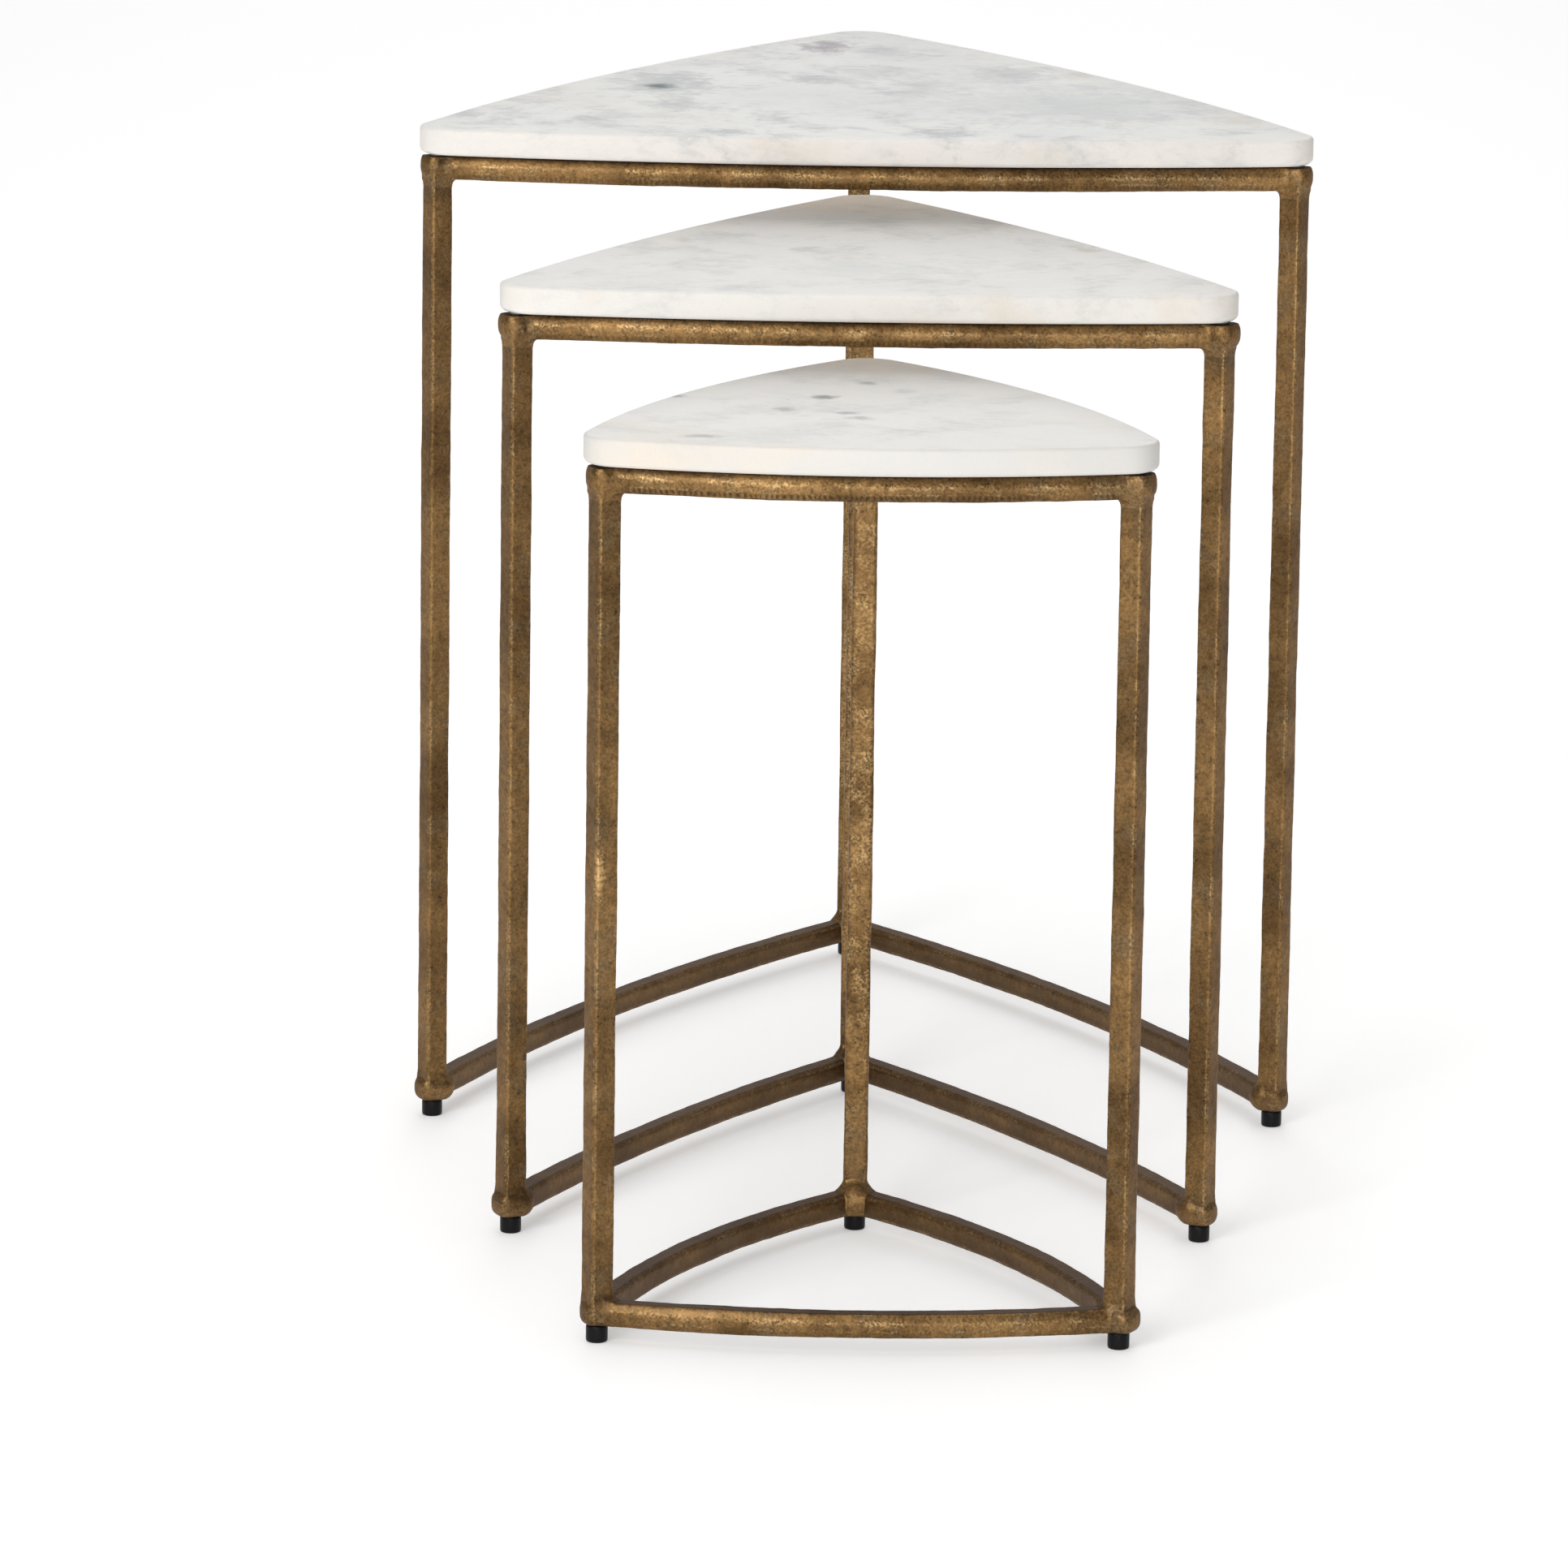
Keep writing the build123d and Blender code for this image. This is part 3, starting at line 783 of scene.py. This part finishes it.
def knuckleField(table, level, corner, sides, x, y, z, random):
    look, half = knuckle, table["half"]
    railZ = table["railZ"][level]
    a = math.radians(cornerAngles[corner])
    u = x * math.cos(a) + y * math.sin(a) - table["corner"]
    v = -x * math.sin(a) + y * math.cos(a)
    below = railZ - half - z if level == "top" else z - railZ - half
    field = sectionField(legCorners(half), u, v) - taper(below, look["legReach"])
    if level == "base":
        field = np.maximum(field, railZ - look["legEnd"] - z)
    field = np.maximum(field, below - look["legReach"])
    for side in sides:
        s = math.radians(sideAngles[side])
        outward = x * math.cos(s) + y * math.sin(s) - table["centre"]
        across = -x * math.sin(s) + y * math.cos(s)
        turn = np.sign(turnBetween(corner, side)) * np.arctan2(across, outward)
        inside = (table["sweep"] - turn) * table["radius"]
        rail = sectionField(railCorners(half), np.hypot(outward, across) - table["radius"], z - railZ)
        ends = np.maximum(inside - look["railReach"], -inside)
        rail = np.maximum(rail - taper(inside, look["railReach"]), ends)
        field = softUnion(field, rail, look["fillet"][level])
    bulge = look["bulge"][table["kind"]][level][list(cornerAngles).index(corner)]
    outer = look["outer"] + look["bulgeStep"] * bulge
    power, narrow = look["square"][level], look["narrow"]
    stretched = (np.abs(u) / outer)**power + (np.abs(v) / (narrow * outer))**power
    high = np.abs(z - railZ - look["raised"][level]) / look["tall"][level]
    stretched = (stretched + high**power)**(1 / power)
    field = softUnion(field, (stretched - 1) * look["swell"], look["crease"])
    if level == "top":
        aside, inward = look["lipSlope"]
        lip = railZ - half - look["lip"] + aside * np.maximum(half - np.abs(v), 0)
        lip = lip + inward * np.maximum(half - u, 0)
        collar = sectionField(legCorners(half), u, v) - look["lipOut"]
        collar = np.maximum(collar, np.maximum(lip - z, z - railZ))
        field = softUnion(field, collar, look["crease"])
    else:
        ball = look["backBall" if corner == "back" else "frontBall"]
        up = z - railZ - ball["up"]
        up = up / np.where(up > 0, ball["above"], ball["below"])
        inner = np.sqrt(((u + ball["in"]) / ball["deep"])**2 + (v / ball["wide"])**2 + up**2)
        field = softUnion(field, (inner - 1) * ball["scale"], ball["blend"])
    for number in range(look["blobs"]):
        lean = random.uniform(-look["blobLean"], look["blobLean"])
        radius = random.uniform(*look["blobRadius"])
        lift = random.uniform(-look["blobLift"], look["blobLift"])
        away = outer + look["blobOut"] - radius
        blob = (u - away * math.cos(lean))**2 + (v - narrow * away * math.sin(lean))**2
        blob = np.sqrt(blob + (z - railZ - lift)**2) - radius
        field = softUnion(field, blob, look["crease"])
    if table["kind"] == "large":
        field = np.maximum(field, u - look["flatAt"])
    return np.maximum(field, (z - railZ if level == "top" else railZ - z) - half)


def meshField(field, low, cell):
    inside = field < 0
    size = [n - 1 for n in field.shape]
    total, count = np.zeros(size + [3]), np.zeros(size)
    ends = [np.array([i, j, k]) for i in (0, 1) for j in (0, 1) for k in (0, 1)]
    view = {tuple(e): tuple(slice(e[d], e[d] + size[d]) for d in range(3)) for e in ends}
    for a in ends:
        for b in ends:
            if (b - a).sum() != 1 or (b - a).min() < 0:
                continue
            fa, fb = field[view[tuple(a)]], field[view[tuple(b)]]
            cross = (fa < 0) != (fb < 0)
            t = np.where(cross, fa / np.where(cross, fa - fb, 1), 0)
            total += np.where(cross[..., None], a + t[..., None] * (b - a), 0)
            count += cross
    live = count > 0
    index = np.full(size, -1)
    index[live] = np.arange(live.sum())
    points = (np.argwhere(live) + total[live] / count[live][:, None]) * cell + low
    faces = []
    for axis in range(3):
        p, q = (axis + 1) % 3, (axis + 2) % 3
        step = np.eye(3, dtype=int)
        cells = np.argwhere(np.diff(inside.astype(np.int8), axis=axis) != 0)
        cp, cq = cells[:, p], cells[:, q]
        cells = cells[(cp > 0) & (cq > 0) & (cp < size[p]) & (cq < size[q])]
        ring = [cells, cells - step[p], cells - step[p] - step[q], cells - step[q]]
        quads = np.stack([index[tuple(r.T)] for r in ring], 1)
        outward = inside[tuple(cells.T)]
        faces.append(np.where(outward[:, None], quads, quads[:, ::-1]))
    return points, np.concatenate(faces)


def makeKnuckle(table, level, corner, seed):
    kind, look = table["kind"], knuckleLook
    random = np.random.default_rng(seed)
    sides = sideAngles if level == "top" else table["baseSides"]
    sides = [side for side in sides if abs(turnBetween(corner, side)) < 90]
    x, y = around(cornerAngles[corner], table["corner"] - knuckle["gridIn"])
    railZ = table["railZ"][level]
    wide, cell = knuckle["gridHalf"], knuckle["cell"]
    long = table["half"] + knuckle["legReach"] + knuckle["gridSpare"]
    short = table["half"] + knuckle["gridSpare"]
    low = np.array([x - wide, y - wide, railZ - (long if level == "top" else short)])
    high = np.array([x + wide, y + wide, railZ + (short if level == "top" else long)])
    axes = [np.arange(low[d], high[d], cell) for d in range(3)]
    field = knuckleField(table, level, corner, sides, *np.meshgrid(*axes, indexing="ij"), random)
    points, faces = meshField(field, low, cell)
    points[:, 1] += table["middle"]
    thing = meshObject(f"{kind}{level.capitalize()}Knuckle{corner.capitalize()}", points, faces)
    near = np.zeros((len(points), 3))
    count = np.zeros(len(points))
    for a, b in ((0, 1), (1, 2), (2, 3), (3, 0)):
        for one, other in ((faces[:, a], faces[:, b]), (faces[:, b], faces[:, a])):
            np.add.at(near, one, points[other])
            np.add.at(count, one, 1)
    normals = np.array([v.normal for v in thing.data.vertices])
    bulge = ((points - near / count[:, None]) * normals).sum(1) / cell
    setPointValues(thing, "wear", np.clip(bulge * look["wearGain"], 0, look["wearMost"]))
    # hollows get painted shade
    hollow = -bulge * look["grooveGain"] - look["grooveFrom"]
    setPointValues(thing, "groove", np.clip(hollow, 0, look["grooveMost"]))
    shade = np.full(len(points), look["shade"][level])
    if (level, corner) == ("base", "back"):
        away = np.hypot(points[:, 0] - x, points[:, 1] - table["middle"] - y)
        away = (away - look["backFrom"]) / look["backReach"]
        shade = look["backShade"] * np.clip(away, look["backLeast"], 1)
    setPointValues(thing, "shade", shade)
    thing = applyTree(thing, skinTree, {"Seed": table["seed"], "Material": brass[kind]})
    part = "top_knuckle_" if level == "top" else "foot_knuckle_"
    finishPiece(thing, table, part + corner)


# slabs: three bowed sides and round corners, eased edges

slab = {"cornerRadius": 0.022, "topRound": 0.0021, "bottomRound": 0.0034, "roundSteps": 6, "sideSteps": 90,
        "cornerSteps": 22, "shrink": (0.8, 0.5, 0.2), "topSide": (0.6, 0.25, 0.0, 0.0, 0.0)}


def slabOutline(table, inset):
    side = table["radius"] + table["overhang"]
    inner = side - slab["cornerRadius"]
    tip = (table["centre"] + math.sqrt(4 * inner**2 - 3 * table["centre"]**2)) / 2
    sweep = math.degrees(math.asin(tip * math.sin(math.radians(60)) / inner))
    points = []
    for sideAngle in (270, 30, 150):
        for step in range(slab["sideSteps"]):
            a = sideAngle - sweep + 2 * sweep * step / slab["sideSteps"]
            points.append(around(sideAngle, table["centre"]) + around(a, side - inset))
        for step in range(slab["cornerSteps"]):
            a = sideAngle + sweep + 2 * (60 - sweep) * step / slab["cornerSteps"]
            points.append(around(sideAngle + 60, tip) + around(a, slab["cornerRadius"] - inset))
    return np.array(points)


def makeSlab(table):
    angles = [math.pi / 2 * step / slab["roundSteps"] for step in range(slab["roundSteps"] + 1)]
    low, high = slab["bottomRound"], slab["topRound"]
    rings = [(low * (1 - math.sin(a)), table["slabLow"] + low * (1 - math.cos(a))) for a in angles]
    rings += [(high * (1 - math.cos(a)), table["slabHigh"] - high * (1 - math.sin(a))) for a in angles]
    loops = [np.c_[slabOutline(table, inset), np.full(3 * (slab["sideSteps"] + slab["cornerSteps"]), z)]
             for inset, z in rings]
    for shrink in slab["shrink"]:
        loops.insert(0, np.c_[slabOutline(table, rings[0][0]) * shrink, loops[0][:, 2]])
        loops.append(np.c_[slabOutline(table, rings[-1][0]) * shrink, loops[-1][:, 2]])
    count = len(loops[0])
    points = np.concatenate(loops + [[[0, 0, table["slabLow"]], [0, 0, table["slabHigh"]]]])
    points[:, 1] += table["middle"]
    thing = meshObject(table["kind"] + "MarbleTop", points, ringFaces(len(loops), count))
    side = np.ones(len(loops))
    side[-5:] = slab["topSide"]
    setPointValues(thing, "side", np.r_[np.repeat(side, count), 1, 0])
    thing.data.materials.append(marble[table["kind"]])
    finishPiece(thing, table, "marble_top")


# turned pieces: glides and pads, as radius and height of each ring

glide = {"profile": ((0.0052, 0.0), (0.0058, 0.0003), (0.0061, 0.0009), (0.00618, 0.002), (0.0062, 0.0085),
                     (0.0060, 0.0093), (0.0055, 0.0098), (0.0050, 0.01)), "steps": 56}
pad = {"profile": ((0.0038, 0.0), (0.0043, 0.0003), (0.0045, 0.0007), (0.0044, 0.0011), (0.0039, 0.0015)),
       "steps": 40}


def turnPieces(name, table, look, z):
    points, faces = [], []
    rings, steps = len(look["profile"]), look["steps"]
    for corner in cornerAngles:
        x, y = around(cornerAngles[corner], table["corner"])
        y += table["middle"]
        base = len(points)
        for radius, height in look["profile"]:
            for step in range(steps):
                dx, dy = around(360 * step / steps, radius)
                points.append((x + dx, y + dy, z + height))
        points.append((x, y, z + look["profile"][0][1]))
        points.append((x, y, z + look["profile"][-1][1]))
        faces += ringFaces(rings, steps, base)
    return meshObject(name, points, faces)


def makeSmallParts(table):
    kind = table["kind"]
    glides = turnPieces(kind + "Glides", table, glide, 0.0)
    glides.data.materials.append(nylon)
    finishPiece(glides, table, "glides")
    pads = turnPieces(kind + "TopPads", table, pad, table["slabLow"] - pad["profile"][-1][1])
    pads.data.materials.append(padPlastic)
    finishPiece(pads, table, "top_pads")
    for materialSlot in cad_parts[kind + "_glide_studs"].material_slots:
        materialSlot.material = zinc


# seeds: four apart for the noise of each table, one number for each knuckle's random draws
for number, table in enumerate(tables.values()):
    table["seed"] = 4.0 * number
    for side in sideAngles:
        makeRail(table, "top", side)
    for side in table["baseSides"]:
        makeRail(table, "base", side)
    for place, corner in enumerate(cornerAngles):
        makeLeg(table, corner)
        makeKnuckle(table, "top", corner, 100 * number + place)
        makeKnuckle(table, "base", corner, 100 * number + place + 50)
    makeSlab(table)
    makeSmallParts(table)
    print(table["kind"], "table made")
for section in (legSection, railSection):
    bpy.data.objects.remove(section)


# camera, floor and light

cameraLook = {"place": (-0.058, -5.576, 1.425), "lens": 217.2, "sensor": 36, "clipEnd": 100, "down": 12.2,
              "right": 0.14, "roll": 0.8}


def makeCamera():
    camera = bpy.data.objects.new("camera", bpy.data.cameras.new("camera"))
    scene.collection.objects.link(camera)
    camera.data.sensor_width = cameraLook["sensor"]
    camera.data.lens = cameraLook["lens"]
    camera.data.clip_end = cameraLook["clipEnd"]
    turn = Matrix.Rotation(math.radians(-cameraLook["right"]), 4, "Z")
    tilt = Matrix.Rotation(math.radians(90 - cameraLook["down"]), 4, "X")
    roll = Matrix.Rotation(math.radians(cameraLook["roll"]), 4, "Z")
    camera.matrix_world = Matrix.Translation(cameraLook["place"]) @ turn @ tilt @ roll
    scene.camera = camera


# near and fade paint a soft shadow on the floor: darker around the tables, fading to the far tone outside
# them
floorLook = {"radius": 14.0, "steps": 96, "near": (0.80, 0.80, 0.80, 1), "far": (0.90, 0.90, 0.90, 1),
             "reach": (0.35, 0.6, 1.0), "fade": (0.5, 1.8), "roughness": 0.7, "glow": 0.33}


def makeFloor():
    steps = floorLook["steps"]
    points = [(*around(360 * i / steps, floorLook["radius"]), 0.0) for i in range(steps)]
    floor = meshObject("floor", points, [range(steps)], smooth=False)
    material, tree, shader, place = startMaterial("floorPaper")
    # painted shadow: the floor is darker towards the middle
    apart = vectorMath(tree, "DIVIDE", place, floorLook["reach"])[0]
    apart = rampNode(tree, vectorMath(tree, "LENGTH", apart)["Value"], *floorLook["fade"])
    colour = mixColour(tree, apart, floorLook["near"], floorLook["far"])
    tree.links.new(colour, shader.inputs["Base Color"])
    shader.inputs["Roughness"].default_value = floorLook["roughness"]
    shader.inputs["Emission Color"].default_value = (1, 1, 1, 1)
    shader.inputs["Emission Strength"].default_value = floorLook["glow"]
    floor.data.materials.append(material)


lights = {
    "key": {"place": (-1.7, -3.6, 2.3), "aim": (0, -0.2, 0.3), "size": (1.8, 1.8), "power": 84},
    "front": {"place": (0.3, -4.6, 0.8), "aim": (0, -0.1, 0.3), "size": (1.3, 1.0), "power": 37},
    "overhead": {"place": (0.0, 3.7, 3.6), "aim": (0, 3.7, 0), "size": (2.4, 13.0), "power": 128},
}
worldLook = {"behind": 0.5, "front": 0.16, "blend": 0.5}


def makeLights():
    for name, look in lights.items():
        lamp = bpy.data.lights.new(name, "AREA")
        lamp.shape = "RECTANGLE"
        lamp.size, lamp.size_y = look["size"]
        lamp.energy = look["power"]
        thing = bpy.data.objects.new(name, lamp)
        scene.collection.objects.link(thing)
        aim = Vector(look["aim"]) - Vector(look["place"])
        turn = aim.to_track_quat("-Z", "Y").to_matrix().to_4x4()
        thing.matrix_world = Matrix.Translation(look["place"]) @ turn
    world = bpy.data.worlds.new("studio")
    world.use_nodes = True
    tree = world.node_tree
    place = tree.nodes.new("ShaderNodeTexCoord").outputs["Generated"]
    toward = addNode(tree, "ShaderNodeSeparateXYZ", _0=place).outputs[1]
    glow = addNode(tree, "ShaderNodeMapRange", {"interpolation_type": "SMOOTHSTEP"}, _0=toward,
                   _1=-worldLook["blend"], _2=worldLook["blend"], _3=worldLook["front"],
                   _4=worldLook["behind"]).outputs[0]
    tree.links.new(glow, tree.nodes["Background"].inputs["Strength"])
    tree.nodes["Background"].inputs["Color"].default_value = (1, 1, 1, 1)
    scene.world = world


makeCamera()
makeFloor()
makeLights()
scene.view_settings.view_transform = "Standard"
print("stage set")
